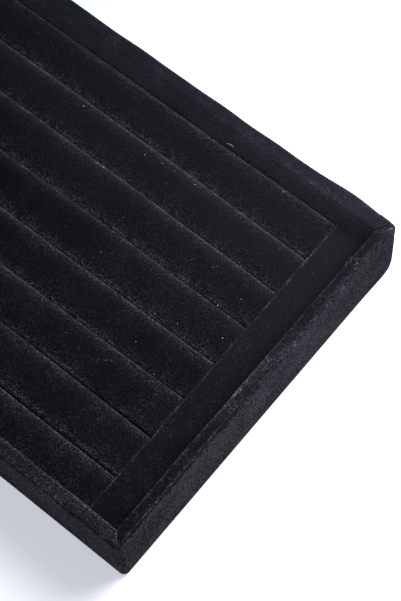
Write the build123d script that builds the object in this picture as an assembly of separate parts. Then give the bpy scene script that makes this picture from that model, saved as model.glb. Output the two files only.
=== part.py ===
from build123d import *
import os

# A velvet ring tray. A shallow frame of wrapped boards holds a lift-out insert: velvet-covered foam
# rolls lie side by side along the tray, with a flat velvet-covered bar across each of their ends.
# Rings are pushed into the slots between the rolls.
# Millimetres. +X runs along the rolls, +Y across them, +Z up. The origin is the centre of the underside.

# Outside of the finished tray
tray_length = 300.0
tray_width = 200.0
tray_height = 43.0
corner_radius = 3.0  # upright outer corners, over the velvet
rim_edge_radius = 2.2  # rounding of the rim's two top edges, over the velvet

# Sheet and board stock
velvet_thickness = 0.7
wall_board_thickness = 6.0
base_board_thickness = 3.0
base_sheet_thickness = 0.8
insert_board_thickness = 2.0
glue_line = 0.05  # between velvet and the piece it is stretched over

# Frame joints
corner_lap_share = 0.5  # of a long wall's thickness, left past the rebate that takes the end wall
hem_width = 14.0  # velvet turned in under the base board
base_sheet_inset = 3.0  # from the tray's outside to the edge of the base sheet
sheet_play = 0.3  # between the base sheet's raised middle and the hems, and round the floor lining

# Brads of flat wire, with a small head and a chisel point
brad_width = 1.2
brad_thickness = 1.0
brad_head_width = 2.0
brad_head_height = 0.6
brad_point_length = 1.6
brad_fit = 0.02  # round a brad in its hole
corner_brad_length = 15.0
corner_brad_inset = 9.0  # from a wall board's top or foot to the nearest corner brad
base_brad_length = 13.0
base_brad_inset = 38.0  # from a board's corner to the nearest base brad
long_wall_brad_count = 5
end_wall_brad_count = 3

# Lift-out insert
roll_count = 8
insert_clearance = 0.4  # between the insert and the velvet of the walls
slot_gap = 0.3  # between two rolls
roll_end_gap = 0.3  # between a roll's end and the bar across it
roll_height = 17.4
crown_rise = 3.9  # of the roll's top, before its shoulders are rounded
shoulder_radius = 4.5
foot_radius = 2.0
cover_seam_gap = 1.0  # where the two edges of a cover meet underneath
bar_width = 20.4
bar_height = 17.5
bar_edge_radius = 1.4

overrun = 2.0  # by which a cutting shape passes the face it cuts

# Levels, from the underside up
hem_foot = base_sheet_thickness
base_board_foot = hem_foot + velvet_thickness
floor_level = base_board_foot + base_board_thickness
lining_top = floor_level + velvet_thickness
rolls_foot = lining_top + insert_board_thickness
boards_top = tray_height - velvet_thickness

# Plan sizes that follow
corner_lap = corner_lap_share * wall_board_thickness
skin = velvet_thickness + glue_line
rim_width = wall_board_thickness + 2 * skin
boards_length = tray_length - 2 * skin
boards_width = tray_width - 2 * skin
well_length = tray_length - 2 * rim_width
well_width = tray_width - 2 * rim_width
insert_length = well_length - 2 * insert_clearance
insert_width = well_width - 2 * insert_clearance
roll_width = (insert_width - (roll_count - 1) * slot_gap) / roll_count
roll_pitch = roll_width + slot_gap
roll_length = insert_length - 2 * (bar_width + roll_end_gap)


def slab(length, width, foot, top, radius=0.0):
    """A flat block centred on the origin, with upright corners rounded if a radius is given."""
    outline = RectangleRounded(length, width, radius) if radius > 0 else Rectangle(length, width)
    return Pos(0, 0, foot) * extrude(outline, top - foot)


def top_edges(shape):
    """The edges round the top face of a shape."""
    return shape.edges().group_by(Axis.Z)[-1]


def foot_edges(shape):
    """The edges round the foot of a shape."""
    return shape.edges().group_by(Axis.Z)[0]


def framed_ring(outer, inner, foot, top, corner, edge):
    """A rectangular ring of (length, width) sizes, with its two top edges rounded."""
    ring = slab(*outer, foot, top, corner) - slab(*inner, foot - overrun, top + overrun)
    return fillet(top_edges(ring), edge)


def spread(count, span):
    """Places along a line, evenly spaced over the span and centred on the origin."""
    return [span * (n / (count - 1) - 1 / 2) for n in range(count)]


def brad(length, fit=0.0):
    """A brad with its head on the origin, pointing up, or with a fit the hole that it makes."""
    half = brad_width / 2
    half_head = brad_head_width / 2
    outline = Polyline(
        (-half_head, 0),
        (half_head, 0),
        (half_head, brad_head_height),
        (half, brad_head_height),
        (half, length - brad_point_length),
        (0, length),
        (-half, length - brad_point_length),
        (-half, brad_head_height),
        (-half_head, brad_head_height),
        close=True,
    )
    section = make_face(outline)
    if fit > 0:
        section = offset(section, fit, kind=Kind.INTERSECTION)
    return Rot(90, 0, 0) * extrude(section, brad_thickness / 2 + fit, both=True)


def brad_holes(places, length):
    """The holes for brads at those places."""
    return [place * brad(length, brad_fit) for place in places]


def corner_brad_places():
    """Two brads at each corner, through the long wall's lap and along the end wall."""
    end_wall_x = (boards_length - wall_board_thickness) / 2
    levels = (floor_level + corner_brad_inset, boards_top - corner_brad_inset)
    return [
        Pos(end * end_wall_x, side * boards_width / 2, level) * Rot(side * 90, 0, 0)
        for end in (-1, 1)
        for side in (-1, 1)
        for level in levels
    ]


def base_brad_places():
    """Brads up through the base board into the middle of each wall's foot."""
    long_wall_y = (boards_width - wall_board_thickness) / 2
    end_wall_x = (boards_length - wall_board_thickness) / 2
    along_x = spread(long_wall_brad_count, boards_length - 2 * base_brad_inset)
    along_y = spread(end_wall_brad_count, boards_width - 2 * base_brad_inset)
    long_places = [(x, side * long_wall_y) for x in along_x for side in (-1, 1)]
    end_places = [(side * end_wall_x, y) for y in along_y for side in (-1, 1)]
    return [Pos(x, y, base_board_foot) for x, y in long_places + end_places]


def base_board():
    """Hardboard under the whole frame."""
    board = slab(
        boards_length, boards_width, base_board_foot, floor_level, corner_radius - skin
    )
    return board - brad_holes(base_brad_places(), base_brad_length)


def wall_boards():
    """Four walls. The long ones are rebated at their ends, and the end walls sit in the rebates."""
    well = (
        boards_length - 2 * wall_board_thickness,
        boards_width - 2 * wall_board_thickness,
    )
    ring = framed_ring(
        (boards_length, boards_width),
        well,
        floor_level,
        boards_top,
        corner_radius - skin,
        rim_edge_radius - skin,
    )
    ring -= brad_holes(corner_brad_places(), corner_brad_length)
    ring -= brad_holes(base_brad_places(), base_brad_length)
    seat_width = boards_width - 2 * corner_lap
    seats = slab(boards_length + 2 * overrun, seat_width, floor_level, tray_height)
    seats -= slab(well[0], seat_width + 2 * overrun, floor_level - overrun, tray_height + overrun)
    ends = (ring & seats).solids().sort_by(Axis.X)
    longs = (ring - seats).solids().sort_by(Axis.Y)
    return {
        "wall_board_left": ends[0],
        "wall_board_right": ends[-1],
        "wall_board_front": longs[0],
        "wall_board_back": longs[-1],
    }


def velvet_wraps():
    """One strip on each wall: up its inside, over the rim, down its outside and in under the base.

    Neighbours meet on the mitre through the corner.
    """
    ring = framed_ring(
        (tray_length, tray_width),
        (well_length, well_width),
        floor_level,
        tray_height,
        corner_radius,
        rim_edge_radius,
    )
    ring -= framed_ring(
        (tray_length - 2 * velvet_thickness, tray_width - 2 * velvet_thickness),
        (well_length + 2 * velvet_thickness, well_width + 2 * velvet_thickness),
        floor_level - overrun,
        boards_top,
        corner_radius - velvet_thickness,
        rim_edge_radius - velvet_thickness,
    )
    turn_in = slab(tray_length, tray_width, hem_foot, floor_level, corner_radius)
    turn_in = fillet(foot_edges(turn_in), velvet_thickness)
    turn_in -= slab(
        tray_length - 2 * velvet_thickness,
        tray_width - 2 * velvet_thickness,
        base_board_foot,
        floor_level + overrun,
        corner_radius - velvet_thickness,
    )
    turn_in -= slab(
        tray_length - 2 * hem_width,
        tray_width - 2 * hem_width,
        hem_foot - overrun,
        floor_level + overrun,
    )
    skin_ring = ring + turn_in
    half_length = tray_length / 2
    half_width = tray_width / 2
    ridge = half_length - half_width  # where the mitres of the two corners of an end meet
    wraps = {}
    for name, side in (("front", -1), ("back", 1)):
        mitred = Polyline(
            (-half_length - overrun, side * (half_width + overrun)),
            (half_length + overrun, side * (half_width + overrun)),
            (ridge, 0),
            (-ridge, 0),
            close=True,
        )
        wraps["velvet_wrap_" + name] = skin_ring & extrude(make_face(mitred), tray_height)
    for name, side in (("left", -1), ("right", 1)):
        mitred = Polyline(
            (side * (half_length + overrun), -half_width - overrun),
            (side * (half_length + overrun), half_width + overrun),
            (side * ridge, 0),
            close=True,
        )
        wraps["velvet_wrap_" + name] = skin_ring & extrude(make_face(mitred), tray_height)
    return wraps


def base_sheet():
    """Flocked sheet glued underneath. It covers the hems and steps up to the base board inside them."""
    length = tray_length - 2 * base_sheet_inset
    width = tray_width - 2 * base_sheet_inset
    raised = (
        tray_length - 2 * (hem_width + sheet_play),
        tray_width - 2 * (hem_width + sheet_play),
    )
    sheet = slab(length, width, 0, base_sheet_thickness, corner_radius)
    sheet += slab(*raised, 0, base_board_foot)
    return sheet - slab(
        raised[0] - 2 * base_sheet_thickness,
        raised[1] - 2 * base_sheet_thickness,
        -overrun,
        base_board_foot - base_sheet_thickness,
    )


def floor_lining():
    """Velvet on the floor, under the insert."""
    return slab(
        well_length - 2 * sheet_play, well_width - 2 * sheet_play, floor_level, lining_top
    )


def roll_section():
    """The outline of a covered roll: flat foot, upright sides, rounded shoulders and a crowned top."""
    half = roll_width / 2
    side_top = roll_height - crown_rise
    outline = Polyline((-half, side_top), (-half, 0), (half, 0), (half, side_top))
    outline += ThreePointArc((half, side_top), (0, roll_height), (-half, side_top))
    section = make_face(outline)
    shoulders = section.vertices().group_by(Axis.Y)[1]
    section = fillet(shoulders, shoulder_radius)
    feet = section.vertices().group_by(Axis.Y)[0]
    return fillet(feet, foot_radius)


def roll(number):
    """The foam core and the velvet cover of a roll, counted from the front."""
    place = Pos(
        -roll_length / 2,
        -insert_width / 2 + roll_width / 2 + number * roll_pitch,
        rolls_foot,
    )
    outer = roll_section()
    lining = offset(outer, -velvet_thickness, kind=Kind.INTERSECTION)
    foam = offset(outer, -skin, kind=Kind.INTERSECTION)
    seam = Pos(0, velvet_thickness / 2) * Rectangle(cover_seam_gap, velvet_thickness + overrun)
    cover = extrude(Plane.YZ * (outer - lining - seam), roll_length)
    core = extrude(Plane.YZ * foam, roll_length)
    return place * core, place * cover


def end_bar(end):
    """The core strip and the velvet cover of the bar across one end of the rolls."""
    place = Pos(end * (insert_length - bar_width) / 2, 0, 0)
    top = rolls_foot + bar_height
    outer = slab(bar_width, insert_width, rolls_foot, top)
    outer = fillet(top_edges(outer), bar_edge_radius)
    inner = slab(
        bar_width - 2 * velvet_thickness,
        insert_width - 2 * velvet_thickness,
        rolls_foot + velvet_thickness,
        top - velvet_thickness,
    )
    inner = fillet(top_edges(inner), bar_edge_radius - velvet_thickness)
    seam = slab(
        cover_seam_gap, insert_width - 2 * skin, rolls_foot - overrun, rolls_foot + skin
    )
    core = slab(
        bar_width - 2 * skin,
        insert_width - 2 * skin,
        rolls_foot + skin,
        top - skin,
    )
    core = fillet(top_edges(core), bar_edge_radius - skin)
    return place * core, place * (outer - inner - seam)


def insert_board():
    """Greyboard that carries the rolls and the bars, and lifts out with them."""
    return slab(insert_length, insert_width, lining_top, rolls_foot)


parts = {
    "base_sheet": base_sheet(),
    "base_board": base_board(),
    "floor_lining": floor_lining(),
    "insert_board": insert_board(),
    "corner_brads": Compound([p * brad(corner_brad_length) for p in corner_brad_places()]),
    "base_brads": Compound([p * brad(base_brad_length) for p in base_brad_places()]),
}
parts.update(wall_boards())
parts.update(velvet_wraps())
for number in range(roll_count):
    core, cover = roll(number)
    parts[f"roll_core_{number + 1}"] = core
    parts[f"roll_cover_{number + 1}"] = cover
for name, end in (("left", -1), ("right", 1)):
    core, cover = end_bar(end)
    parts["end_bar_core_" + name] = core
    parts["end_bar_cover_" + name] = cover

os.makedirs("parts", exist_ok=True)
for name, shape in parts.items():
    export_step(shape, f"parts/{name}.step")
print(f"{len(parts)} sub-parts, roll pitch {roll_pitch:.3f}, roll length {roll_length:.1f}")
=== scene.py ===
import math

import bpy
import numpy as np
from mathutils import Matrix, Vector


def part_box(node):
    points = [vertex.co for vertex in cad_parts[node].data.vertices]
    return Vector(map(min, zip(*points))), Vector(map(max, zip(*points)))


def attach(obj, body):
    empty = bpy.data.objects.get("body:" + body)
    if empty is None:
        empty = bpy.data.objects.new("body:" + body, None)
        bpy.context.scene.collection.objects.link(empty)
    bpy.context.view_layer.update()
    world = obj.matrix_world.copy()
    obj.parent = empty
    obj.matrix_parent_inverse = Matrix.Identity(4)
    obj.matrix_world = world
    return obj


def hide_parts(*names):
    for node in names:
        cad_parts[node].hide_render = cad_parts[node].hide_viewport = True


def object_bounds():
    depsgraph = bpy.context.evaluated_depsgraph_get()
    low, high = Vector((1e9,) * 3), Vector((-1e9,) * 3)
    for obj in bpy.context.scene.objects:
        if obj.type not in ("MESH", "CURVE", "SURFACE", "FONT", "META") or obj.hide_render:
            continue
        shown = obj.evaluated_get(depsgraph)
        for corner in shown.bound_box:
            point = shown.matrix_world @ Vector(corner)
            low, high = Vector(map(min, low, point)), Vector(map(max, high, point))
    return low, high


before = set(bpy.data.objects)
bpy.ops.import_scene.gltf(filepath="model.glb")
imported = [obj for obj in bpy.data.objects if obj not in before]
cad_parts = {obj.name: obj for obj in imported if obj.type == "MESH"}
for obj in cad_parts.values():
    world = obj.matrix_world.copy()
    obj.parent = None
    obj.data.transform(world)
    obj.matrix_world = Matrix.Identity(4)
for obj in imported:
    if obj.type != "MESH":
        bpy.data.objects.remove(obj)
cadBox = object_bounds()
print("frame loaded:", len(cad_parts), "nodes")

scene = bpy.context.scene
mm = 0.001  # the scene is in metres
rolls = range(1, 1 + sum(name.startswith("roll_cover_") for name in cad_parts))
trayBody, insertBody = "tray", "ring_insert"


# Numbers and meshes

def ripple(a, b, size, seed, waves=8):
    # A smooth random height from about -1.5 to 1.5: sine waves in random directions, each about
    # size long, summed and divided by the root of their number.
    draw = np.random.default_rng(seed)
    total = np.zeros(np.broadcast(a, b).shape)
    ranges = ((0, 2 * np.pi), (0, 2 * np.pi), (0.6, 1.7))
    for angle, phase, stretch in zip(*(draw.uniform(*span, waves) for span in ranges)):
        along = a * np.cos(angle) + b * np.sin(angle)
        total = total + np.sin(2 * np.pi * along / (size * stretch) + phase)
    return total / math.sqrt(waves)


def bump(x, centre, width):
    # A bell curve of height 1, exp(-t^2 / 2), with t the distance from the centre in widths.
    return np.exp(-0.5 * ((x - centre) / width) ** 2)


def step(x, start, end):
    # A smooth step from 0 at start to 1 at end, 3t^2 - 2t^3, held at both ends.
    t = np.clip((x - start) / (end - start), 0, 1)
    return t * t * (3 - 2 * t)


def joined(*parts):
    # Arrays as the last axis of one, repeated where their shapes need it.
    return np.stack(np.broadcast_arrays(*parts), axis=-1)


def unit(vectors):
    return vectors / np.linalg.norm(vectors, axis=-1, keepdims=True)


def evenly(outline, count, closed):
    # The outline again, as points that are evenly spaced along its length.
    if closed:
        outline = np.vstack([outline, outline[:1]])
    length = np.concatenate([[0], np.cumsum(np.linalg.norm(np.diff(outline, axis=0), axis=1))])
    at = np.linspace(0, length[-1], count, endpoint=not closed)
    return joined(*(np.interp(at, length, outline[:, k]) for k in (0, 1)))


def outlineNormals(outline, closed):
    # Unit normals to the right of the way along an outline.
    if closed:
        along = np.roll(outline, -1, axis=0) - np.roll(outline, 1, axis=0)
    else:
        along = np.gradient(outline, axis=0)
    along = unit(along)
    return joined(along[:, 1], -along[:, 0])


def gridFaces(rows, columns, closed):
    # Quads on a grid of rows and columns, joined round the rows if they are closed.
    index = np.arange(rows * columns).reshape(rows, columns)
    nextOne = np.roll(index, -1, axis=1) if closed else index[:, 1:]
    this = index if closed else index[:, :-1]
    return joined(this[:-1], nextOne[:-1], nextOne[1:], this[1:]).reshape(-1, 4)


def repeated(faces, size, count):
    # The faces of one piece for all its copies, each with its points size further on.
    faces = faces[None] + size * np.arange(count)[:, None, None]
    return faces.reshape(-1, faces.shape[-1])


def crowded(low, high, count, share):
    # Places from low to high, a share of which crowds towards the ends by a sine.
    middle = np.linspace(-1, 1, count)
    middle = (1 - share) * middle + share * np.sin(middle * np.pi / 2)
    return (low + high) / 2 + (high - low) / 2 * middle


def quarterRound(place, start, end, radius):
    # How far a face draws in beside both ends, r - sqrt(r^2 - (r - d)^2), and the distance d.
    toEnd = np.clip(np.minimum(place - start, end - place), 0, radius)
    return radius - np.sqrt(radius**2 - (radius - toEnd) ** 2), toEnd


def makeMesh(name, points, faces):
    # A smooth-shaded object at the origin.
    mesh = bpy.data.meshes.new(name)
    mesh.from_pydata(points.reshape(-1, 3).tolist(), [], faces)
    mesh.shade_smooth()
    mesh.update()
    piece = bpy.data.objects.new(name, mesh)
    scene.collection.objects.link(piece)
    return piece


def paint(piece, values):
    # Keeps a number from -1 to 1 at each point: painted shade below 0, and brushed-up pile and
    # painted light above it.
    pileAndPaintedLight = piece.data.attributes.new("pileAndPaintedLight", "FLOAT", "POINT")
    pileAndPaintedLight.data.foreach_set("value", np.clip(values, -1, 1).ravel())


def tubeMesh(name, rings, pileAndPaintedLight):
    # A closed skin through rings of points, with a fan over both ends.
    rows, columns = rings.shape[:2]
    points = np.vstack([rings.reshape(-1, 3), rings[0].mean(0), rings[-1].mean(0)])
    faces = gridFaces(rows, columns, True).tolist()
    first, last = rows * columns, rows * columns + 1
    end = (rows - 1) * columns
    pairs = [(a, (a + 1) % columns) for a in range(columns)]
    faces += [[first, b, a] for a, b in pairs] + [[last, end + a, end + b] for a, b in pairs]
    piece = makeMesh(name, points, faces)
    paint(piece, np.concatenate([pileAndPaintedLight.ravel(), [pileAndPaintedLight[0].mean(), pileAndPaintedLight[-1].mean()]]))
    return piece


def sheetMesh(name, grid, pileAndPaintedLight, thickness):
    # A sheet through a grid of points, with its thickness on the side away from its normals.
    rows, columns = grid.shape[:2]
    piece = makeMesh(name, grid, gridFaces(rows, columns, False).tolist())
    paint(piece, pileAndPaintedLight + 0 * grid[:, :, 0])
    shell = piece.modifiers.new("thickness", "SOLIDIFY")
    shell.thickness = thickness
    shell.offset = -1
    shell.use_even_offset = False
    return piece


def dress(piece, body, material, *nodes, slotName="black_velvet"):
    # Gives a piece its material and body, and the CAD nodes that it stands for. Its slot name is
    # not used.
    piece.data.materials.clear()
    piece.data.materials.append(material)
    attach(piece, body)
    if nodes:
        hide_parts(*nodes)


def cushion(name, rings, pileAndPaintedLight, material, node, slotName, fill):
    # A stuffed cover or its core, which rides on the insert.
    piece = tubeMesh(name, rings, pileAndPaintedLight)
    dress(piece, insertBody, material, node, slotName=slotName)


# Materials

class Wire:
    # One output of a node. Arithmetic on it adds Math nodes, and node() adds any other node.
    def __init__(self, tree, out=None):
        self.tree = tree
        self.out = out

    def node(self, kind, sockets=None, out=0, **settings):
        made = self.tree.nodes.new("ShaderNode" + kind)
        for key, value in settings.items():
            setattr(made, key, value)
        for key, value in (sockets or {}).items():
            if isinstance(value, Wire):
                self.tree.links.new(value.out, made.inputs[key])
            else:
                made.inputs[key].default_value = value
        return Wire(self.tree, made.outputs[out])

    def math(self, operation, *values):
        return self.node("Math", dict(enumerate(values)), operation=operation)

    def __add__(self, other):
        return self.math("ADD", self, other)

    def __sub__(self, other):
        return self.math("SUBTRACT", self, other)

    def __rsub__(self, other):
        return self.math("SUBTRACT", other, self)

    def __mul__(self, other):
        return self.math("MULTIPLY", self, other)

    def __pow__(self, other):
        return self.math("POWER", self, other)

    __radd__, __rmul__ = __add__, __mul__

    def clipped(self):
        return self.node("Clamp", {"Value": self})

    def between(self, low, high):
        # 0 at low and 1 at high, smooth and held at both ends
        sockets = {"Value": self, "From Min": low, "From Max": high}
        return self.node("MapRange", sockets, interpolation_type="SMOOTHSTEP")

    def mixed(self, colourA, colourB):
        # colourA where this is 0 and colourB where it is 1
        return self.node("Mix", {0: self, 6: colourA, 7: colourB}, 2, data_type="RGBA")


def noise(place, scale, detail=2.0, rough=0.5):
    return place.node(
        "TexNoise", {"Vector": place, "Scale": scale, "Detail": detail, "Roughness": rough}
    )


def bumped(height, strength, depth):
    # The normal of a face with this height, where 1 stands for the depth.
    return height.node("Bump", {"Strength": strength, "Distance": depth, "Height": height})


def rgb(red, green, blue):
    return (red, green, blue, 1.0)


def newMaterial(name):
    # A material without nodes, a wire into its tree, and the place on the object.
    material = bpy.data.materials.new(name)
    material.use_nodes = True
    material.node_tree.nodes.clear()
    wire = Wire(material.node_tree)
    return material, wire, wire.node("TexCoord", out="Object")


def finishTree(shader, kind="Material"):
    output = shader.tree.nodes.new("ShaderNodeOutput" + kind)
    shader.tree.links.new(shader.out, output.inputs["Surface"])


def finishPlain(colour, rough, others):
    # One Principled coat as the whole material.
    sockets = {"Base Color": colour, "Roughness": rough, **others}
    finishTree(colour.node("BsdfPrincipled", sockets))


velvetLook = dict(
    deep=rgb(0.0032, 0.0031, 0.0047),  # between the tufts
    tip=rgb(0.0595, 0.053, 0.07),  # on the tips at the front of the tray
    backTip=rgb(0.056, 0.059, 0.069),  # and at its back
    tipDepths=(-20 * mm, 22 * mm),  # between which the one turns into the other
    paintedHighlight=rgb(0.158, 0.15, 0.172),  # painted highlight: the tips' colour where the painted light is strongest
    dust=rgb(0.14, 0.14, 0.15),
    dustScale=420.0,  # specks in a metre
    tuftSize=0.56 * mm,
    tuftLength=1.5,  # times as long as wide, along the way that the pile leans
    tuftHeading=math.radians(44),  # and how far that is turned from the tray's depth
    tuftEdges=(0.44, 0.59),  # of the noise, from no tip to a whole one
    brushedSize=24 * mm,
    clumpSize=1.5 * mm,  # tufts that lean together
    clumping=0.36,  # how much more or fewer tips a clump shows
    speckle=((3.2, -1.45), (0.5, 0.24)),  # gain and offset of the tips at the tray's front and back
    speckleDepths=(-40 * mm, 60 * mm),
    raggedSize=2.2 * mm,  # length over which the brushed pile and painted light come and go
    level=0.1,  # share of tips that show face on
    grazing=0.36,  # and what is added to it where the pile is seen from its side
    pileAndPaintedLightGain=0.41,  # and what the brushed pile and painted light that the piece keeps add to it
    grazingPower=2.3,
    sheen=0.04,
    sheenTint=rgb(0.7, 0.7, 1.0),
    bump=0.35,
    bumpDepth=0.4 * mm,
)


def velvet(name, look):
    # Black pile as a mix of a dark coat between the tufts and a light one on their tips. The light
    # one's share is max(0, gain * tips * clumps + offset) * (level + grazing * side^power) plus
    # tips * a gain * the piece's number * sparkle * ragged, all noise but side, which is how far
    # the pile faces aside, and that number, which the piece keeps at its points: brushed-up pile
    # and painted highlights above 0 and painted shade below it. Where it is high, the tips take the
    # painted highlight's colour.
    material, wire, place = newMaterial(name)
    turn, stretch = (0, 0, look["tuftHeading"]), (1, look["tuftLength"], 1)
    leaning = {"Vector": place, "Rotation": turn, "Scale": stretch}
    leaning = wire.node("Mapping", leaning, vector_type="TEXTURE")
    fine = noise(leaning, 1 / look["tuftSize"], 2, 0.75)
    slow = noise(place, 1 / look["brushedSize"], 4, 0.6).between(0.35, 0.68)
    tips = fine.between(*look["tuftEdges"]) * (0.75 + 0.5 * slow)
    clumps = noise(place, 1 / look["clumpSize"], 1).between(0.36, 0.68)
    depth = wire.node("SeparateXYZ", {"Vector": place}, 1)
    back = depth.between(*look["speckleDepths"])
    gain, offset = (near + (far - near) * back for near, far in zip(*look["speckle"]))
    speckled = gain * tips * (1 - 0.5 * look["clumping"] + look["clumping"] * clumps) + offset
    side = (1.6 * wire.node("LayerWeight", {"Blend": 0.5}, "Facing")).clipped()
    share = look["level"] + look["grazing"] * side ** look["grazingPower"]
    pileAndPaintedLight = wire.node("Attribute", out="Fac", attribute_name="pileAndPaintedLight")
    sparkle = noise(leaning, 1 / look["tuftSize"], 1).between(0.46, 0.6)
    ragged = noise(place, 1 / look["raggedSize"], 2).between(0.36, 0.64)
    # The brushed pile and the painted light and shade that the piece keeps.
    pileAndPaintedLightShare = look["pileAndPaintedLightGain"] * pileAndPaintedLight * (0.15 + 1.7 * sparkle) * (0.45 + 1.1 * ragged)
    standing = wire.math("MAXIMUM", speckled, 0.0) * share
    factor = (standing + (0.45 + 0.55 * tips) * pileAndPaintedLightShare).clipped()
    specks = wire.node("TexVoronoi", {"Vector": place, "Scale": look["dustScale"]})
    dust = (1 - specks.between(0.02, 0.1)) * noise(place, 180.0, 1).between(0.5, 0.62)
    hue = depth.between(*look["tipDepths"]).mixed(look["tip"], look["backTip"])
    # The tips turn to the painted highlight's colour where the painted light is strong.
    tip = pileAndPaintedLight.between(0.25, 1.0).mixed(hue, look["paintedHighlight"])
    height = fine + 0.5 * noise(leaning, 0.3 / look["tuftSize"], 2)
    sockets = {
        "Normal": bumped(height, look["bump"], look["bumpDepth"]),
        "Roughness": 1.0,
        "Specular IOR Level": 0.02,
        "Sheen Weight": look["sheen"],
        "Sheen Tint": look["sheenTint"],
    }
    dark, light = (
        wire.node("BsdfPrincipled", {"Base Color": dust.mixed(colour, look["dust"]), **sockets})
        for colour in (look["deep"], tip)
    )
    finishTree(wire.node("MixShader", {0: factor, 1: dark, 2: light}))
    return material


def fibreboard(name, light, dark, fibreSize):
    # Pressed wood fibre: long noise for the fibres over slow mottling.
    material, wire, place = newMaterial(name)
    stretched = wire.node("Mapping", {"Vector": place, "Scale": (1, 1, 3)})
    fibres = noise(stretched, 1 / fibreSize, 5, 0.65)
    colour = (0.7 * fibres + 0.3 * noise(place, 60.0, 3)).between(0.3, 0.7).mixed(dark, light)
    finishPlain(colour, 0.75 + 0.2 * fibres, {"Normal": bumped(fibres, 0.3, 0.1 * mm)})
    return material


def foam(name):
    # Open-cell foam: small dark pores in a pale grey.
    material, wire, place = newMaterial(name)
    wall = wire.node("TexVoronoi", {"Vector": place, "Scale": 1100.0}).between(0.2, 0.6)
    colour = wall.mixed(rgb(0.05, 0.05, 0.055), rgb(0.22, 0.22, 0.23))
    finishPlain(colour, 0.9, {"Normal": bumped(wall, 0.6, 0.3 * mm)})
    return material


def steel(name):
    # Drawn wire: fine lines along its length vary the roughness.
    material, wire, place = newMaterial(name)
    lines = noise(place, 4000.0, 2)
    colour = lines.mixed(rgb(0.42, 0.42, 0.43), rgb(0.62, 0.62, 0.63))
    finishPlain(colour, 0.25 + 0.3 * lines, {"Metallic": 0.95})
    return material


def looseFibre(name, colours, strength):
    # Fibres between two colours by noise, with some sheen.
    material, wire, place = newMaterial(name)
    shade = noise(place, 700.0, 1).between(0.3, 0.7).mixed(*colours)
    finishPlain(shade, 0.8, {"Sheen Weight": strength})
    return material


rollVelvet = velvet("roll velvet", velvetLook)
barVelvet = velvet(
    "bar velvet", dict(velvetLook, deep=rgb(0.0048, 0.0046, 0.0065), level=0.13, clumping=0.45)
)
wrapVelvet = velvet(
    "wrap velvet",
    dict(
        velvetLook,
        deep=rgb(0.005, 0.0047, 0.0066),
        tip=rgb(0.1, 0.094, 0.116),
        backTip=rgb(0.1, 0.096, 0.12),
        grazing=0.56,
        tuftLength=1.0,
        clumping=0.82,
        speckle=((2.5, -0.87), (1.1, -0.05)),
        sheen=0.012,
    ),
)
# The strip over the back wall has its own copy of the velvet, smoother and bluer with darker tips:
# a copy painted for how light and shade fall on that wall inside the tray.
backVelvet = velvet(
    "back wrap velvet",
    dict(
        velvetLook,
        deep=rgb(0.0066, 0.0066, 0.01),
        tip=rgb(0.06, 0.061, 0.082),
        backTip=rgb(0.06, 0.061, 0.082),
        level=0.12,
        grazing=0.54,
        tuftLength=1.0,
        tuftEdges=(0.38, 0.66),
        clumping=0.6,
        speckle=((1.3, -0.15), (0.68, 0.155)),
    ),
)
flockTip = rgb(0.04, 0.04, 0.042)
flock = velvet("flock", dict(velvetLook, tuftSize=0.4 * mm, tip=flockTip, backTip=flockTip))
wallMaterial = fibreboard("fibreboard", rgb(0.5, 0.37, 0.24), rgb(0.34, 0.23, 0.14), 0.9 * mm)
baseMaterial = fibreboard("hardboard", rgb(0.28, 0.17, 0.09), rgb(0.15, 0.085, 0.045), 0.6 * mm)
greyMaterial = fibreboard("greyboard", rgb(0.4, 0.39, 0.37), rgb(0.27, 0.26, 0.25), 0.5 * mm)
foamMaterial = foam("foam")
steelMaterial = steel("brad steel")
print("materials made")

wallNames = ("front", "back", "left", "right")
carriedNodes = {
    **{"wall_board_" + wall: wallMaterial for wall in wallNames},
    "base_board": baseMaterial,
    "insert_board": greyMaterial,
    "corner_brads": steelMaterial,
    "base_brads": steelMaterial,
}
for name, material in carriedNodes.items():
    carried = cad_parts[name].data.materials
    carried.clear()
    carried.append(material)


# Rolls

rollLook = dict(
    rows=240,
    around=84,
    crownPower=2.05,  # 2 is an ellipse, and more is squarer
    footPower=9.0,
    sideShare=0.66,  # of the height, below the widest level
    endRound=1.4 * mm,
    plump=0.1 * mm,  # by which the stuffed cover is wider than its solid, on each side
    skin=0.75 * mm,  # from the velvet's face to the foam
    fade=38 * mm,  # over which a slot that opens at a bar closes again
    slotHighlightFront=((0.48, 1.4 * mm), (0.52, 3.4 * mm)),  # how much painted highlight a roll has at a slot on its front edge,
    slotHighlightBack=((0.2, 0.9 * mm), (0.66, 3.0 * mm)),  # and on its back one, and how far from the slot it goes on
    edgeShares=(  # how much of that each roll has, along its front edge and along its back one
        (1.8, 0.9), (1.45, 0.82), (1.05, 0.93), (0.95, 1.02), (1.0, 0.94), (0.85, 1.02),
        (0.68, 1.02), (0.66, 1.7),
    ),
    paintedShade=(  # painted shade on each roll, on the left of the tray and on its right; below 0 it is painted light
        (0.0, 0.0), (0.05, 0.05), (0.13, 0.12), (0.095, 0.085), (0.11, 0.06), (0.012, 0.0),
        (-0.04, -0.004), (-0.045, 0.0),
    ),
)
# Each slot's drift towards the back, in mm, at the left bar, in the middle and at the right bar,
# from the front wall's side to the back wall's.
slotDrift = (
    (-0.2, 0.0, 0.1), (-0.2, -0.75, -0.85), (0.9, 0.62, 0.75), (0.8, -0.12, 1.5),
    (-0.1, -0.45, 0.65), (-1.3, 0.27, 0.7), (1.0, 1.33, 0.3), (0.0, 0.65, -0.3),
    (0.25, 0.2, -0.05),
)
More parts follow.
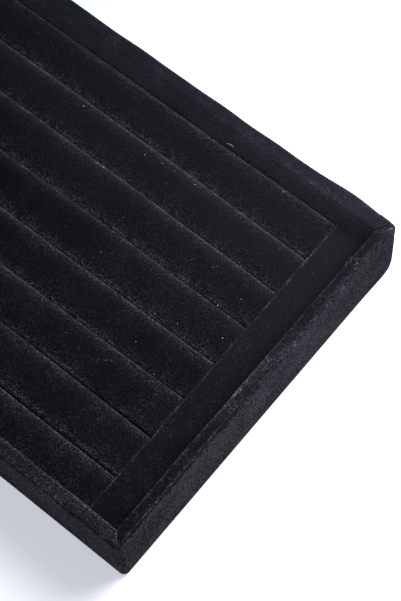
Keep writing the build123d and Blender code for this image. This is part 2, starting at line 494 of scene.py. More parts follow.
# How far each slot opens at the left bar, along its middle and at the right bar, in mm.
slotOpening = (
    (0.1, 0.0, 0.1), (1.2, 0.9, 0.35), (1.1, 0.15, 1.0), (0.3, 0.0, 0.05), (0.8, 0.05, 0.1),
    (0.2, 0.0, 0.25), (0.6, 0.0, 0.1), (0.3, 0.1, 0.25), (0.2, 0.0, 0.2),
)


def rollOutline(look, halfWidth, height):
    # Two half superellipses about the widest level, |y/a|^n + |z/b|^n = 1: a crown above and a
    # squarer foot below. Points run anticlockwise as seen from the right, in shares of both sizes.
    turn = np.linspace(0, 2 * np.pi, 1440, endpoint=False)
    sine, cosine = np.sin(turn), np.cos(turn)
    up = sine >= 0
    power = np.where(up, look["crownPower"], look["footPower"])
    rise = np.where(up, 1 - look["sideShare"], look["sideShare"])
    y = np.sign(cosine) * np.abs(cosine) ** (2 / power)
    z = np.sign(sine) * np.abs(sine) ** (2 / power) * rise + look["sideShare"]
    outline = evenly(joined(y * halfWidth, z * height), look["around"], True)
    return outline / (halfWidth, height)


def slotSides(x, number, ends, fade):
    # Both sides of a slot: the parabola through its three drifts, less and plus half of what it
    # opens by. A bar adds to that by exp(-distance / fade).
    drift = np.polyval(np.polyfit((ends[0], 0.0, ends[1]), np.array(slotDrift[number]) * mm, 2), x)
    left, middle, right = slotOpening[number]
    nearLeft, nearRight = np.exp((ends[0] - x) / fade), np.exp((x - ends[1]) / fade)
    half = 0.5 * mm * (middle + (left - middle) * nearLeft + (right - middle) * nearRight)
    return drift - half, drift + half


clothLook = dict(
    rows=61,
    around=30,
    pressure=4.0,
    mass=0.015,  # of each point, in kg
    stiffness=12.0,
    frames=20,
    cap=0.4 * mm,  # how far a point may move
)


def stuffCovers(look, cloth):
    # All covers as open tubes under the pressure of their stuffing, held at the foot and both ends.
    # Returns how far each point moves, scaled down to the cap where that is more.
    coarse = dict(look, rows=cloth["rows"], around=cloth["around"])
    start = np.stack([rollRings(n, coarse, 0.0, None)[0] for n in rolls])
    faces = gridFaces(cloth["rows"], cloth["around"], True)
    faces = repeated(faces, cloth["rows"] * cloth["around"], len(rolls))
    covers = makeMesh("covers", start, faces.tolist())
    held = start[..., 2] < start[..., 2].min() + 0.7 * np.ptp(start[..., 2])
    held[:, [0, -1]] = True
    group = covers.vertex_groups.new(name="held")
    group.add(np.flatnonzero(held.ravel()).tolist(), 1.0, "REPLACE")
    modifier = covers.modifiers.new("cloth", "CLOTH")
    settings = modifier.settings
    settings.vertex_group_mass = "held"
    settings.mass = cloth["mass"]
    settings.tension_stiffness = settings.compression_stiffness = cloth["stiffness"]
    settings.shear_stiffness = 0.3 * cloth["stiffness"]
    settings.bending_stiffness = 0.05
    settings.use_pressure = True
    settings.uniform_pressure_force = cloth["pressure"]
    settings.effector_weights.gravity = 0
    modifier.collision_settings.use_collision = False
    modifier.point_cache.frame_end = cloth["frames"]
    for frameNumber in range(1, cloth["frames"] + 1):
        scene.frame_set(frameNumber)
    finished = covers.evaluated_get(bpy.context.evaluated_depsgraph_get()).data
    points = np.empty(start.size, dtype=np.float32)
    finished.vertices.foreach_get("co", points)
    moved = points.reshape(start.shape) - start
    distance = np.linalg.norm(moved, axis=-1, keepdims=True)
    print("covers stuffed: the cloth moved by up to", round(float(distance.max()) / mm, 2), "mm")
    bpy.data.objects.remove(covers)
    scene.frame_set(1)
    return moved * np.minimum(1, cloth["cap"] / np.maximum(distance, 1e-9))


def resampled(values, rows, around):
    # A grid of values, closed round its rows, at another number of rows and columns by straight
    # interpolation both ways, and smoothed by the mean of each point's neighbours.
    oldRows, oldAround = values.shape[:2]
    at = np.linspace(0, oldRows - 1, rows)
    low = np.minimum(at.astype(int), oldRows - 2)
    share = (at - low)[:, None, None]
    values = values[low] * (1 - share) + values[low + 1] * share
    at = np.arange(around) * oldAround / around
    low = at.astype(int)
    share = (at - low)[:, None]
    values = values[:, low] * (1 - share) + values[:, (low + 1) % oldAround] * share
    for _ in range(2 * rows // oldRows):
        values = (np.roll(values, 1, axis=1) + values + np.roll(values, -1, axis=1)) / 3
        values[1:-1] = (values[2:] + values[1:-1] + values[:-2]) / 3
    return values


def rollRings(number, look, inset, stuffed):
    # The outline carried along the roll. Its sides follow the slots, it draws in at the ends by a
    # quarter round, its crown moves as the stuffed cloth does, and slow ripples move its face. A
    # painted highlight is put beside a slot, the sum of share * exp(-distance / depth) times this
    # roll's share for that edge, and painted shade over the whole roll is taken off it.
    low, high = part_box(f"roll_cover_{number}")
    x0, x1 = low.x + inset, high.x - inset
    ends = (low.x, high.x)
    x = crowded(x0, x1, look["rows"], 0.25)[:, None]
    side0 = low.y + slotSides(x, number - 1, ends, look["fade"])[1]
    side1 = high.y + slotSides(x, number, ends, look["fade"])[0]
    drawn, toEnd = quarterRound(x, x0, x1, look["endRound"])
    half = (side1 - side0) / 2 + look["plump"] - drawn - inset
    centre = (side0 + side1) / 2
    height = high.z - low.z
    top = height - drawn - 2 * inset + 0.22 * mm * ripple(x, 0, 70 * mm, 40 + number)
    shares = rollOutline(look, half.max(), height)
    y = centre + half * shares[:, 0]
    z = low.z + inset + top * shares[:, 1]
    normal = outlineNormals(shares * (half.max(), height), True)
    arc = np.arange(look["around"]) * (2 * (half.max() * 2 + height) / look["around"])
    lift = 0.1 * mm * ripple(x, arc, 26 * mm, 60 + number)
    lift = lift + 0.05 * mm * ripple(x, arc, 8 * mm, 80 + number)
    lift = lift * step(normal[:, 1], 0.3, 0.8) * step(toEnd, 0, look["endRound"])
    points = joined(x, y + lift * normal[:, 0], z + lift * normal[:, 1])
    if stuffed is not None:
        moved = resampled(stuffed, look["rows"], look["around"])
        points = points + moved * step(normal[:, 1], 0.2, 0.7)[:, None]
    # Painted highlight beside each slot, and painted shade over the roll.
    fromSlot = half - np.abs(y - centre)
    front, rear = (
        sum(share * np.exp(-fromSlot / depth) for share, depth in look[side])
        for side in ("slotHighlightFront", "slotHighlightBack")
    )
    frontShare, rearShare = look["edgeShares"][number - 1]
    pileAndPaintedLight = np.where(y < centre, frontShare * front, rearShare * rear)
    pileAndPaintedLight = pileAndPaintedLight * (1 + 0.15 * ripple(x, arc, 9 * mm, 100 + number))
    left, right = look["paintedShade"][number - 1]
    paintedShade = left + (right - left) * step(x, 0, 60 * mm)
    return points, pileAndPaintedLight * step(shares[:, 1], 0.25, 0.45) - paintedShade


stuffedCovers = stuffCovers(rollLook, clothLook)
rollFaces, rollPaintedLight = {}, {}
for number in rolls:
    stuffed = stuffedCovers[number - 1]
    rollFaces[number], rollPaintedLight[number] = rollRings(number, rollLook, 0.0, stuffed)
    cover = (rollFaces[number], rollPaintedLight[number], rollVelvet, f"roll_cover_{number}")
    cushion(f"roll_{number}_velvet", *cover, "black_velvet", 0.85)
    core = rollRings(number, dict(rollLook, rows=90, around=40), rollLook["skin"], stuffed)
    cushion(f"roll_{number}_foam", *core, foamMaterial, f"roll_core_{number}", "foam", 0.85)
print("rolls made")


# End bars

barLook = dict(
    rows=190,
    around=96,
    topRound=1.3 * mm,
    footRound=0.8 * mm,
    crown=0.25 * mm,
    endRound=1.2 * mm,
    skin=0.75 * mm,
    edgeWander=0.12 * mm,
    reach=0.25 * mm,  # by which the stuffed cover is longer than its solid, at each end
    notch=0.45 * mm,  # where the edge is pulled in beside the slot that opens most
    notchPlace=-47 * mm,
    notchWidth=5 * mm,
    edgeHighlight=0.85,  # painted highlight along the top edge towards the rolls
    edgeWidth=0.5 * mm,
    paintedShade=0.14,  # painted shade towards the front
)


def barOutline(look, width, height):
    # A rectangle with round corners and a top that rises in the middle by a parabola.
    foot, top, halfWidth = look["footRound"], look["topRound"], width / 2
    points = []
    for x, z, radius, start in (
        (halfWidth - foot, foot, foot, -90),
        (halfWidth - top, height - top, top, 0),
        (top - halfWidth, height - top, top, 90),
        (foot - halfWidth, foot, foot, 180),
    ):
        turn = np.radians(np.linspace(start, start + 90, 24))
        points.append(joined(x + radius * np.cos(turn), z + radius * np.sin(turn)))
    outline = evenly(np.vstack(points), look["around"] * 4, True)
    outline[:, 1] += look["crown"] * (
        (1 - (outline[:, 0] / halfWidth) ** 2) * step(outline[:, 1], height * 0.9, height) - 1
    ) * step(outline[:, 1], 0.3 * height, height)
    return evenly(outline, look["around"], True)


def barRings(side, look, inset):
    # The outline carried across the tray. It draws in at both ends by a quarter round, and its edge
    # towards the rolls wanders and is pulled in at one place.
    low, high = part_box("end_bar_cover_" + side)
    y0, y1 = low.y - look["reach"] + inset, high.y + look["reach"] - inset
    y = crowded(y0, y1, look["rows"], 0.15)[:, None]
    width, height = high.x - low.x - 2 * inset, high.z - low.z - 2 * inset
    outline = barOutline(look, width, height)
    drawn, _ = quarterRound(y, y0, y1, look["endRound"])
    inner = -1 if side == "right" else 1  # which way the rolls lie
    towards = step(inner * outline[:, 0] / width, -0.5, 0.5)  # 1 on the face towards the rolls
    upper = step(outline[:, 1], 0.4 * height, height)
    notch = look["notch"] * bump(y, look["notchPlace"], look["notchWidth"]) * (side == "right")
    pulled = look["edgeWander"] * ripple(y, 0, 30 * mm, 7) + notch
    x = (low.x + high.x) / 2 + outline[:, 0] * (1 - 2 * drawn / width)
    x = x - inner * pulled * towards * upper
    z = low.z + inset + outline[:, 1] * (1 - drawn / height)
    z = z + 0.06 * mm * ripple(y, x, 24 * mm, 11) * upper
    # Painted highlight along the top edge towards the rolls, and painted shade towards the tray's
    # front.
    edge = bump(-inner * outline[:, 0], -width / 2 + 0.3 * mm, look["edgeWidth"])
    edge = edge * step(outline[:, 1], height - 1.2 * mm, height - 0.4 * mm)
    pileAndPaintedLight = look["edgeHighlight"] * edge * (1 + 0.6 * ripple(y, 0, 9 * mm, 13))
    pileAndPaintedLight = pileAndPaintedLight - look["paintedShade"] * step(-y, 0, 60 * mm)
    return joined(x, y, z), pileAndPaintedLight


barFaces = {}
for side in ("left", "right"):
    barFaces[side], pileAndPaintedLight = barRings(side, barLook, 0.0)
    cover = (barFaces[side][::-1], pileAndPaintedLight[::-1], barVelvet, f"end_bar_cover_{side}")
    cushion(f"end_bar_{side}_velvet", *cover, "black_velvet", 0.95)
    rings, pileAndPaintedLight = barRings(side, dict(barLook, rows=60, around=48), barLook["skin"])
    core = (rings[::-1], pileAndPaintedLight[::-1], foamMaterial, f"end_bar_core_{side}")
    cushion(f"end_bar_{side}_foam", *core, "foam", 0.95)
print("end bars made")


# Velvet over the walls

trayHigh = cadBox[1]
halfLength, halfWidth = trayHigh.x, trayHigh.y
rimLook = dict(
    thickness=0.7 * mm,
    rimWidth=7.5 * mm,
    rimRound=2.2 * mm,
    cornerRound=3.0 * mm,
    foldRound=0.7 * mm,
    hem=14 * mm,
    pathStep=1.6 * mm,
    rimStep=0.42 * mm,
    alongStep=0.8 * mm,
    mitreDip=0.2 * mm,  # depth of the crease where two strips meet on the rim
    mitreWidth=0.7 * mm,
    wave=0.16 * mm,
)


def wrapPath(look, foot, floor, top):
    # The strip's outline across a wall, as distance in and height: from under the base, round the
    # fold, up the outside, over the rim and down the inside.
    r, f, w = look["rimRound"], look["foldRound"], look["rimWidth"]
    quarter = np.linspace(0, np.pi / 2, 20)
    sine, cosine = np.sin(quarter), np.cos(quarter)
    fold = joined(f - f * sine, foot + f - f * cosine)
    outer = joined(r - r * cosine, top - r + r * sine)
    inner = joined(w - r + r * sine, top - r + r * cosine)
    parts = (
        (np.vstack([[(look["hem"], foot)], fold, [(0, top - 7 * mm)]]), look["pathStep"]),
        (np.vstack([[(0, top - 7 * mm)], outer, inner, [(w, top - 5 * mm)]]), look["rimStep"]),
        (np.array([(w, top - 5 * mm), (w, floor)]), look["pathStep"]),
    )
    points, total = [], 0
    for part, spacing in parts:
        length = np.linalg.norm(np.diff(part, axis=0), axis=1).sum()
        total += length
        points.append(evenly(part, int(length / spacing), False)[(1 if points else 0):])
    return np.vstack(points), total


def wrapGrid(look, path, halfAlong, seed, lift):
    # The path carried along one wall from mitre to mitre, each of its points on the rounded
    # rectangle at its distance in. The face moves along the path's normals by slow ripples, a dip
    # at each mitre on the rim, and the lift of this wall.
    inset, level = path[:, :1], path[:, 1:]
    count = int(2 * halfAlong / look["alongStep"])
    share = crowded(-1, 1, count, 0.6)
    radius = np.maximum(look["cornerRound"] - inset, 0.05 * mm)
    straight = halfAlong - inset - radius
    reach = share * (straight + radius * np.pi / 4)
    turn = np.clip((np.abs(reach) - straight) / radius, 0, np.pi / 4)
    along = np.sign(reach) * (np.minimum(np.abs(reach), straight) + radius * np.sin(turn))
    inwards = inset + radius * (1 - np.cos(turn))
    normal = -outlineNormals(path, False)
    toMitre = halfAlong - inset - np.abs(along)
    rim = step(level, trayHigh.z - 6 * mm, trayHigh.z - 1 * mm)
    shift = look["wave"] * ripple(along, inset + level, 34 * mm, seed)
    dip = bump(toMitre, 0, look["mitreWidth"]) * (1 - foldedCorner(halfAlong, along))
    shift = shift * step(level, 4 * mm, 12 * mm) - look["mitreDip"] * rim * dip
    shift = shift + lift(along, inset, level)
    cosTurn, sinTurn = np.cos(turn), np.sign(reach) * np.sin(turn)
    inwards = inwards + shift * normal[:, :1] * cosTurn
    along = along - shift * normal[:, :1] * sinTurn
    level = level + shift * normal[:, 1:]
    return along, inwards, level


# Scruffy places on the rim, in mm: where they are along the wall and in from its outside, their
# length and width, and how far the pile is brushed up there.
rimPatches = dict(
    right=(
        (4, 5.2, 7, 1.6, 0.25), (12, 3.4, 7, 1.7, 0.27), (21, 1.9, 8, 1.5, 0.18),
        (-16, 4.6, 10, 2.2, 0.16), (-76, 0.2, 7, 1.8, 0.26), (-46, 0.2, 9, 1.2, 0.15),
    ),
    back=((-108, 5.8, 11, 0.9, 0.2), (-64, 9.4, 14, 1.2, 0.14), (-75, 7.4, 9, 0.9, 0.14)),
    front=((60, 3.0, 12, 1.6, 0.2), (95, 1.2, 10, 1.2, 0.2)),
    left=((-20, 3.0, 15, 1.5, 0.2), (50, 1.0, 10, 1.0, 0.2)),
)
# Painted highlight along the rim's inner edge, painted light down the wall's inside and outside
# (painted shade where below 0), and painted shade on the rim's top (painted light where below 0).
rimPile = dict(
    front=dict(lined=0.5, inner=0.2, outside=0.2, paintedShade=-0.12),
    back=dict(lined=0.25, inner=0.46, outside=0.2, paintedShade=-0.08),
    left=dict(lined=0.5, inner=0.2, outside=0.2, paintedShade=0.0),
    right=dict(lined=1.1, inner=0.0, outside=-0.12, paintedShade=0.145),
)


def rimPileAndLight(wall, halfAlong, along, inwards, level):
    # Painted highlight along both edges of the rim and its mitres, brushed-up pile in the patches
    # above, and painted light and shade beside the crease, down the wall and on the rim's top. Each
    # is a bell curve or a step, times ripples.
    pile, right = rimPile[wall], wall == "right"
    top = step(level, trayHigh.z - 2.5 * mm, trayHigh.z - 0.8 * mm)
    seed = 200 + 10 * len(wall)
    edgeWidth = 0.55 * mm + 0.3 * mm * step(-along, -20 * mm, 20 * mm) * right
    # Painted highlights along the rim's inner and outer edges.
    edge = bump(inwards, 6.9 * mm, edgeWidth) * (0.5 + 0.5 * ripple(along, 0, 16 * mm, seed))
    outer = bump(inwards, 0.5 * mm, 0.8 * mm) * (0.3 + 0.5 * ripple(along, 0, 12 * mm, seed + 1))
    patch = 0.12 * np.clip(ripple(along, inwards, 13 * mm, seed + 2), 0, 1)
    across = inwards - 0.7 * (trayHigh.z - level)  # goes on below 0 down the outside
    rough = 1 + 0.45 * ripple(along, across, 1.8 * mm, seed + 3)
    rough = rough + 0.3 * ripple(along, across, 5 * mm, seed + 4)
    for middle, inset, length, width, share in rimPatches[wall]:
        spot = bump(along, middle * mm, length * mm) * bump(across, inset * mm, width * mm)
        patch = patch + share * rough * spot
    # Painted light and shade: lighter towards the right wall's foot, darker towards its back.
    lined = pile["lined"] * (1 - 0.8 * step(along, 6 * mm, 20 * mm) * right)
    inner = pile["inner"] * step(inwards, 6.8 * mm, 7.3 * mm)
    paintedShade = pile["paintedShade"] + 0.12 * step(-along, 15 * mm, 45 * mm) * right
    paintedWallLight = 0.06 * step(-level, -30 * mm, 0) - 0.42 * step(along, 20 * mm, 75 * mm)
    outside = (pile["outside"] + paintedWallLight * right) * step(-inwards, -1.0 * mm, -0.2 * mm)
    # Painted highlight and shade about the right rim's crease.
    past = (across - (rightCrease(along) if right else 9 * mm)) / mm  # beyond the crease
    creaseLight = 0.18 * (1 - step(past, 0.2, 1.4)) * right + 0.08 * bump(past, -1, 0.7)
    creaseHighlightAndShade = 0.5 * bump(past, 1.1, 0.4) - 0.4 * bump(past, 0.1, 0.35)
    nearHalf = step(-along, 5 * mm, 25 * mm) * right
    creaseLight = creaseLight * (1 - 0.4 * nearHalf) + creaseHighlightAndShade * nearHalf
    # Painted highlight along the mitres.
    mitre = 0.4 * bump(halfAlong - inwards - np.abs(along), 0.25 * mm, 0.28 * mm)
    rim = lined * np.clip(edge, 0, 1) + 0.4 * np.clip(outer, 0, 1) - paintedShade
    rim = rim + mitre * (1 - foldedCorner(halfAlong, along))
    if wall in ("right", "back"):
        x, y, _ = np.moveaxis(placeWall(wall, along, inwards, level), -1, 0)
        near = (x > 138 * mm) & (y > 88 * mm)
        inside, outline = cornerFold(x, y)
        # Painted highlight on the corner seam's edge and the fold's outline, and painted shade
        # inside the fold.
        rim = rim + near * (0.7 * cornerSeam(x, y)[1] + 0.5 * outline - 0.5 * inside)
    rim = rim * top + (inner + outside) * (1 - top)
    return rim + (patch + creaseLight) * step(level, 30 * mm, 38 * mm)


def rightCrease(along):
    # How far in a shallow crease lies along the right-hand rim: it wanders by a few bell curves.
    wander = 1.7 * bump(along, 62 * mm, 26 * mm) + 0.6 * bump(along, 92 * mm, 8 * mm)
    return (0.9 + wander - 0.6 * step(-along, 20 * mm, 80 * mm)) * mm


# The far right corner, in mm in plan: the edge of the upper strip, and the open fold beside it.
cornerLook = dict(
    seam=((144.7, 91.4), (148.5, 97.4)),
    fold=((142.7, 91.9), (146.2, 97.5)),
    foldWidth=1.0 * mm,
    foldDepth=0.25 * mm,
    overlap=0.28 * mm,
)


def foldedCorner(halfAlong, along):
    # 1 at the far right corner, which has a seam and a fold in place of a plain mitre, and at the
    # corner across the tray from it.
    atEnd = along if halfAlong < halfLength else -along
    return step(atEnd, halfAlong - 14 * mm, halfAlong - 11 * mm)


def nearLine(x, y, line):
    # How far along a line a point of the plan lies, from 0 to 1, and how far to the left of it.
    (x0, y0), (x1, y1) = ((px * mm, py * mm) for px, py in line)
    length = math.hypot(x1 - x0, y1 - y0)
    dx, dy = (x1 - x0) / length, (y1 - y0) / length
    return ((x - x0) * dx + (y - y0) * dy) / length, (y - y0) * dx - (x - x0) * dy


def cornerSeam(x, y):
    # The height of the upper strip, and a bell curve about its edge.
    share, left = nearLine(x, y, cornerLook["seam"])
    left = left + 0.12 * mm * np.sin(np.pi * np.clip(share, 0, 1))
    within = step(share, -0.15, 0.1) * (1 - step(share, 1.0, 1.2))
    return step(left, -0.15 * mm, 0.2 * mm) * within, bump(left, 0, 0.24 * mm) * within


def cornerFold(x, y):
    # The inside of the fold, a lens whose half width is the root of share * (1 - share), and a
    # bell curve about its outline.
    share, left = nearLine(x, y, cornerLook["fold"])
    lens = 2 * np.sqrt(np.clip(share * (1 - share), 0, 0.25))
    half = cornerLook["foldWidth"] * lens
    inside = step(half - np.abs(left), 0, 0.3 * mm)
    return inside, bump(np.abs(left), half, 0.18 * mm) * step(lens, 0.2, 0.6)


def cornerLift(x, y, level):
    over = cornerSeam(x, y)[0] * (x > 140 * mm) * (y > 90 * mm)
    folded = cornerFold(x, y)[0]
    lift = cornerLook["overlap"] * over - cornerLook["foldDepth"] * folded
    return lift * step(level, 40 * mm, 42 * mm)


def rightLift(along, inset, level):
    # The crease in the rim, the corner, and the velvet puffed out below it and drawn in there.
    across = inset - 0.7 * (trayHigh.z - level)
    groove = bump(across, rightCrease(along), 0.45 * mm) * step(level, 37 * mm, 40 * mm)
    puff = bump(along, 92 * mm, 8 * mm) * bump(level, 12 * mm, 9 * mm) * (inset < 1.5 * mm)
    drawnIn = step(along, 93 * mm, 99 * mm) * step(-level, -9 * mm, -2 * mm)
    lift = cornerLift(halfLength - inset, along, level) * (along > 88 * mm)
    return lift - 0.4 * mm * groove + 0.5 * mm * puff - 0.45 * mm * drawnIn


def backLift(along, inset, level):
    # The velvet over the back wall stands off the board near the corner and is folded at it.
    puff = bump(along, -126 * mm, 15 * mm) * step(level, 30 * mm, 40 * mm)
    lift = cornerLift(-along, halfWidth - inset, level) * (along < -136 * mm)
    return lift + 1.0 * mm * puff * (1 - step(inset, 1.5 * mm, 4.5 * mm))


def placeWall(wall, along, inwards, level):
    # Points along a wall and inwards from its outside, in the tray's own plan.
    x, y = dict(
        front=(along, inwards - halfWidth),
        back=(-along, halfWidth - inwards),
        left=(inwards - halfLength, -along),
        right=(halfLength - inwards, along),
    )[wall]
    return joined(x, y, level)


low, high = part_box("velvet_wrap_front")
path, pathLength = wrapPath(rimLook, low.z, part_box("base_board")[1].z, high.z)
wrapFaces, wrapPileAndLight = {}, {}
for seed, wall in enumerate(wallNames):
    halfAlong = halfLength if wall in ("front", "back") else halfWidth
    lift = dict(right=rightLift, back=backLift).get(wall, lambda *place: 0)
    unrolled = wrapGrid(rimLook, path, halfAlong, 20 + seed, lift)
    grid = placeWall(wall, *unrolled)
    pileAndPaintedLight = rimPileAndLight(wall, halfAlong, *unrolled)
    wrapFaces[wall], wrapPileAndLight[wall] = grid, pileAndPaintedLight
    wrap = sheetMesh(f"wall_{wall}_velvet", grid, pileAndPaintedLight, rimLook["thickness"])
    pile = backVelvet if wall == "back" else wrapVelvet
    dress(wrap, trayBody, pile, "velvet_wrap_" + wall)
    side = grid[1:, 1:] - grid[:-1, :-1]
print("wall velvet made")


# Sheets under the insert and under the tray

def flatGrid(low, high, stepSize):
    # A level grid of points over a box's plan.
    x = np.linspace(low.x, high.x, int((high.x - low.x) / stepSize))
    y = np.linspace(low.y, high.y, int((high.y - low.y) / stepSize))
    return np.meshgrid(x, y)


low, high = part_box("floor_lining")
x, y = flatGrid(low, high, 2.5 * mm)
z = high.z - 0.05 * mm + 0.02 * mm * ripple(x, y, 40 * mm, 31)
lining = sheetMesh("floor_velvet", joined(x, y, z), 0.0, 0.6 * mm)
dress(lining, trayBody, wrapVelvet, "floor_lining")

sheetLook = dict(thickness=0.8 * mm, rise=0.7 * mm, border=(11.6 * mm, 12.4 * mm))
low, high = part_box("base_sheet")
x, y = flatGrid(low, high, 1.6 * mm)
inside = np.minimum(np.minimum(x - low.x, high.x - x), np.minimum(y - low.y, high.y - y))
z = low.z + sheetLook["rise"] * step(inside, *sheetLook["border"])
base = sheetMesh("base_flock", joined(x, y, z)[::-1], 0.0, sheetLook["thickness"])
dress(base, trayBody, flock, "base_sheet", slotName="flocked_sheet")
print("sheets made")


# Loose pile and lint

fuzzLook = dict(
    perRoll=2000,
    perWall=900,
    length=(0.4 * mm, 1.0 * mm),
    width=0.13 * mm,
    lean=0.54,  # how far the fibres lean away from the cloth's normals
)


def fuzzRoots(points, pileAndPaintedLight, count, draw):
    # Random places on a grid of points, likelier where the brushed pile and painted light are
    # higher, each moved by random shares of the way to the next points, and the normals there.
    weight = np.clip(pileAndPaintedLight[:-1, :-1], 0, 1) ** 1.5
    pick = draw.choice(weight.size, count, p=weight.ravel() / weight.sum())
    row, column = np.divmod(pick, weight.shape[1])
    here = points[row, column]
    down, right = points[row + 1, column] - here, points[row, column + 1] - here
    moved = here + draw.random((count, 1)) * down + draw.random((count, 1)) * right
    return moved, unit(np.cross(down, right))


def fuzzMesh(name, roots, normals, look, draw):
    # One slender pyramid on three sides for each fibre. Its axis is the normal plus a random lean.
    count = len(roots)
    axis = unit(normals + look["lean"] * draw.normal(size=(count, 3)))
    aside = unit(np.cross(axis, draw.normal(size=(count, 3))))
    other = np.cross(axis, aside)
    turn = np.arange(3) * 2 * np.pi / 3
    ring = np.cos(turn)[:, None] * aside[:, None] + np.sin(turn)[:, None] * other[:, None]
    foot = roots[:, None] + 0.5 * look["width"] * ring
    tip = roots + axis * draw.uniform(*look["length"], size=(count, 1))
    points = np.concatenate([foot, tip[:, None]], axis=1)
    faces = repeated(np.array([[0, 2, 1], [0, 1, 3], [1, 2, 3], [2, 0, 3]]), 4, count)
    return makeMesh(name, points, faces.tolist())


fuzzColours = (rgb(0.04, 0.038, 0.049), rgb(0.095, 0.091, 0.118))
fuzzMaterial = looseFibre("loose pile", fuzzColours, 0.1)
lintMaterial = looseFibre("lint", (rgb(0.3, 0.3, 0.32), rgb(0.75, 0.75, 0.77)), 0.0)
hairMaterial = looseFibre("hair", (rgb(0.03, 0.03, 0.035), rgb(0.15, 0.15, 0.17)), 0.0)

# Lint and loose fibres, in mm and degrees: the middle's place in plan, the length, the heading, how
# far that turns along the length, and the thickness.
lintOnInsert = (
    (103.2, 24.2, 0.7, 20, 60, 0.5), (111.1, 32.0, 0.5, 80, 0, 0.34),
    (116.8, 11.2, 0.6, 120, 40, 0.42), (95.4, 4.3, 0.5, 0, 50, 0.28),
    (83.2, 2.0, 0.5, 45, 50, 0.28), (102.3, -21.3, 0.8, 150, 40, 0.28),
    (86.4, -15.2, 0.7, 30, 90, 0.28), (-15.5, 64.8, 0.7, 70, 30, 0.5),
    (55.2, 65.6, 0.6, 0, 30, 0.34), (13.0, 46.7, 0.5, 40, 30, 0.3),
    (26.0, 62.7, 0.5, 10, 30, 0.26), (90.9, 89.3, 0.5, 30, 30, 0.44),
    (13.3, 45.9, 0.6, 30, 30, 0.3), (35.6, 64.6, 0.5, 70, 30, 0.26),
    (42.6, 64.9, 0.6, 20, 30, 0.28), (43.5, 9.4, 0.5, 20, 30, 0.26),
    (58.2, -32.3, 0.5, 20, 30, 0.28),
)
lintOnWall = ((56.0, 92.0, 4.8, 8, -22, 0.28),)  # on the inside of the back wall
lintHeight = 25.0 * mm  # about where it lies there
hairOnInsert = (
    (57.2, 88.6, 1.6, 60, 60, 0.16), (90.4, 36.5, 2.2, 70, 190, 0.15),
    (92.0, 38.0, 1.8, 160, 120, 0.15), (81.3, -31.2, 3.4, 30, 230, 0.15),
    (78.6, -33.4, 2.6, 100, 120, 0.15), (84.0, -29.4, 2.0, -20, 150, 0.13),
    (71.0, 20.5, 2.2, 140, 90, 0.13), (40.0, 30.0, 1.9, 60, 120, 0.13),
    (60.0, -42.0, 2.4, 10, 140, 0.13),
)
hairOnTray = (
    (144.0, 71.9, 4.2, 100, 70, 0.13), (143.2, 69.8, 4.0, 130, -60, 0.13),
    (145.4, 73.8, 3.6, 150, 110, 0.13), (142.9, 73.6, 2.8, 90, -80, 0.12),
    (146.4, 72.4, 4.4, 60, 160, 0.13), (147.2, 70.6, 3.4, 20, 150, 0.12),
    (146.0, 75.4, 2.6, 10, 120, 0.12), (148.2, -62.7, 2.8, 65, 100, 0.14),
    (105.3, -95.6, 3.4, 20, 130, 0.15), (107.6, -94.4, 2.4, 80, 90, 0.14),
)


def restingHeight(places, faces):
    # The height of the cloth's nearest point in plan, for each place. Hems don't count.
    points = np.vstack([face.reshape(-1, 3) for face in faces])
    points = points[points[:, 2] > 0.5 * points[:, 2].max()]
    nearest = [((points[:, :2] - place) ** 2).sum(1).argmin() for place in places]
    return points[nearest, 2]


def lintMesh(name, fibres, faces):
    # A ring of five points carried along each fibre. The heading turns evenly, the middle rises by
    # a sine, and the ends are thinner by the root of a sine.
    fibres = np.array(fibres)
    count, steps = len(fibres), 12
    share = np.linspace(0, 1, steps)
    length, thickness = fibres[:, 2, None] * mm, fibres[:, 5, None] * mm
    heading = np.radians(fibres[:, 3, None] + fibres[:, 4, None] * (share - 0.5))
    x = np.cumsum(np.cos(heading), axis=1) * length / steps
    y = np.cumsum(np.sin(heading), axis=1) * length / steps
    x = x - x.mean(1, keepdims=True) + fibres[:, 0, None] * mm
    y = y - y.mean(1, keepdims=True) + fibres[:, 1, None] * mm
    rest = restingHeight(fibres[:, :2] * mm, faces)[:, None] + 0.4 * thickness
    z = rest + 0.12 * length * np.sin(np.pi * share)
    radius = 0.5 * thickness * np.sqrt(np.sin(np.pi * (0.04 + 0.92 * share)))
    turn = np.arange(5) * 2 * np.pi / 5
    aside = joined(-np.sin(heading), np.cos(heading), 0)
    ring = np.cos(turn)[:, None] * aside[:, :, None] + joined(0, 0, np.sin(turn))
    points = joined(x, y, z)[:, :, None] + radius[:, :, None, None] * ring
    size = steps * 5
    faces = repeated(gridFaces(steps, 5, True), size, count)[:, ::-1].tolist()
    caps = np.array([[0, 1, 2, 3, 4], [size - 1, size - 2, size - 3, size - 4, size - 5]])
    faces += repeated(caps, size, count).tolist()
    return makeMesh(name, points, faces)


insertFaces = [*rollFaces.values(), *barFaces.values()]
backFace = wrapFaces["back"]
behindLint = backFace[np.abs(backFace[:, :, 2] - lintHeight) < 1 * mm]
for name, fibres, faces, body, material in (
    ("insert_lint", lintOnInsert, insertFaces, insertBody, lintMaterial),
    ("insert_hairs", hairOnInsert, insertFaces, insertBody, hairMaterial),
    ("tray_hairs", hairOnTray, wrapFaces.values(), trayBody, hairMaterial),
    ("tray_lint", lintOnWall, [behindLint], trayBody, lintMaterial),
):
    dress(lintMesh(name, fibres, faces), body, material)

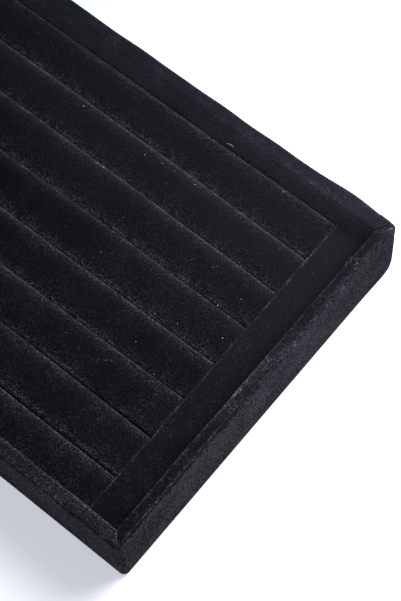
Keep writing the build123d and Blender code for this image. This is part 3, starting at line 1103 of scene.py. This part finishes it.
draw = np.random.default_rng(5)
for name, faces, pileAndPaintedLight, count, body in (
    ("roll_fuzz", rollFaces, rollPaintedLight, fuzzLook["perRoll"], insertBody),
    ("wall_fuzz", wrapFaces, wrapPileAndLight, fuzzLook["perWall"], trayBody),
):
    found = [fuzzRoots(faces[key], pileAndPaintedLight[key], count, draw) for key in faces]
    roots, normals = (np.vstack(part) for part in zip(*found))
    dress(fuzzMesh(name, roots, normals, fuzzLook, draw), body, fuzzMaterial)
print("loose pile made")


# Floor, light and camera

def seenRays(wire):
    # 1 for the rays that make the picture and 0 for those that only carry light.
    kinds = ("Camera", "Glossy", "Transmission")
    camera, glossy, through = (wire.node("LightPath", out=f"Is {kind} Ray") for kind in kinds)
    return wire.math("MAXIMUM", wire.math("MAXIMUM", camera, glossy), through)


floorLook = dict(
    reach=4.0,
    below=0.02 * mm,  # so that it shares no level with the tray
    paper=rgb(0.5, 0.5, 0.51),  # as the light on the tray finds it
    seen=rgb(1.4, 1.44, 1.5),  # and as the camera does
    glow=rgb(0.92, 0.97, 1.1),
    glowing=0.9,
    glowShare=0.5,
)
floorMaterial, wire, _ = newMaterial("floor")
seen = seenRays(wire)
paper = wire.node("BsdfDiffuse", {"Color": seen.mixed(floorLook["paper"], floorLook["seen"])})
glow = wire.node("Emission", {"Color": floorLook["glow"], "Strength": floorLook["glowing"]})
finishTree(wire.node("MixShader", {0: floorLook["glowShare"] * seen, 1: paper, 2: glow}))
across = np.linspace(-floorLook["reach"], floorLook["reach"], 5)
x, y = np.meshgrid(across, across)
level = joined(x, y, -floorLook["below"])
floor = makeMesh("floor", level, gridFaces(5, 5, False).tolist())
floor.data.materials.append(floorMaterial)


def placed(name, data, place, turn):
    # A lamp or camera at a place, turned by a quaternion.
    held = bpy.data.objects.new(name, data)
    held.location = place
    held.rotation_mode = "QUATERNION"
    held.rotation_quaternion = turn
    scene.collection.objects.link(held)
    return held


world = bpy.data.worlds.new("studio")
scene.world = world
world.use_nodes = True
world.node_tree.nodes.clear()
wire = Wire(world.node_tree)
room = wire.node("Background", {"Color": rgb(0.96, 0.96, 1.0), "Strength": 0.12})
white = wire.node("Background", {"Color": rgb(1, 1, 1), "Strength": 1.0})
finishTree(wire.node("MixShader", {0: seenRays(wire), 1: room, 2: white}), "World")

lampLook = dict(  # place and size in metres, watts and colour
    key=((0.19, 0.1, 0.27), 0.16, 1.5, (0.98, 0.99, 1.0)),
    front=((-0.1, -1.0, 1.0), 0.8, 2.8, (1.0, 0.945, 1.0)),
    side=((0.9, -1.0, 0.35), 0.7, 2.5, (1.0, 0.97, 0.99)),
)
for name, (place, size, watts, colour) in lampLook.items():
    light = bpy.data.lights.new(name, "AREA")
    light.shape, light.size, light.energy, light.color = "SQUARE", size, watts, colour
    placed(name, light, place, Vector(place).to_track_quat("Z", "Y")).visible_camera = False

cameraLook = dict(
    place=(338.87 * mm, -228.6 * mm, 803.3 * mm),
    azimuth=44.296,  # degrees round the tray, 0 from the front
    elevation=65.992,
    roll=-5.216,
    lens=109.03,
)


def cameraTurn(look):
    # The camera's back lies along azimuth and elevation, and its right and up turn by the roll.
    a, e, r = (math.radians(look[key]) for key in ("azimuth", "elevation", "roll"))
    back = Vector((math.sin(a) * math.cos(e), -math.cos(a) * math.cos(e), math.sin(e)))
    right = Vector((math.cos(a), math.sin(a), 0))
    up = back.cross(right)
    turned = right * math.cos(r) + up * math.sin(r)
    return Matrix((turned, back.cross(turned), back)).transposed().to_quaternion()


lens = bpy.data.cameras.new("camera")
lens.lens = cameraLook["lens"]
lens.sensor_width = 36
lens.clip_end = 20
scene.camera = placed("camera", lens, cameraLook["place"], cameraTurn(cameraLook))
scene.view_settings.view_transform = "Standard"
print("floor, light and camera made")
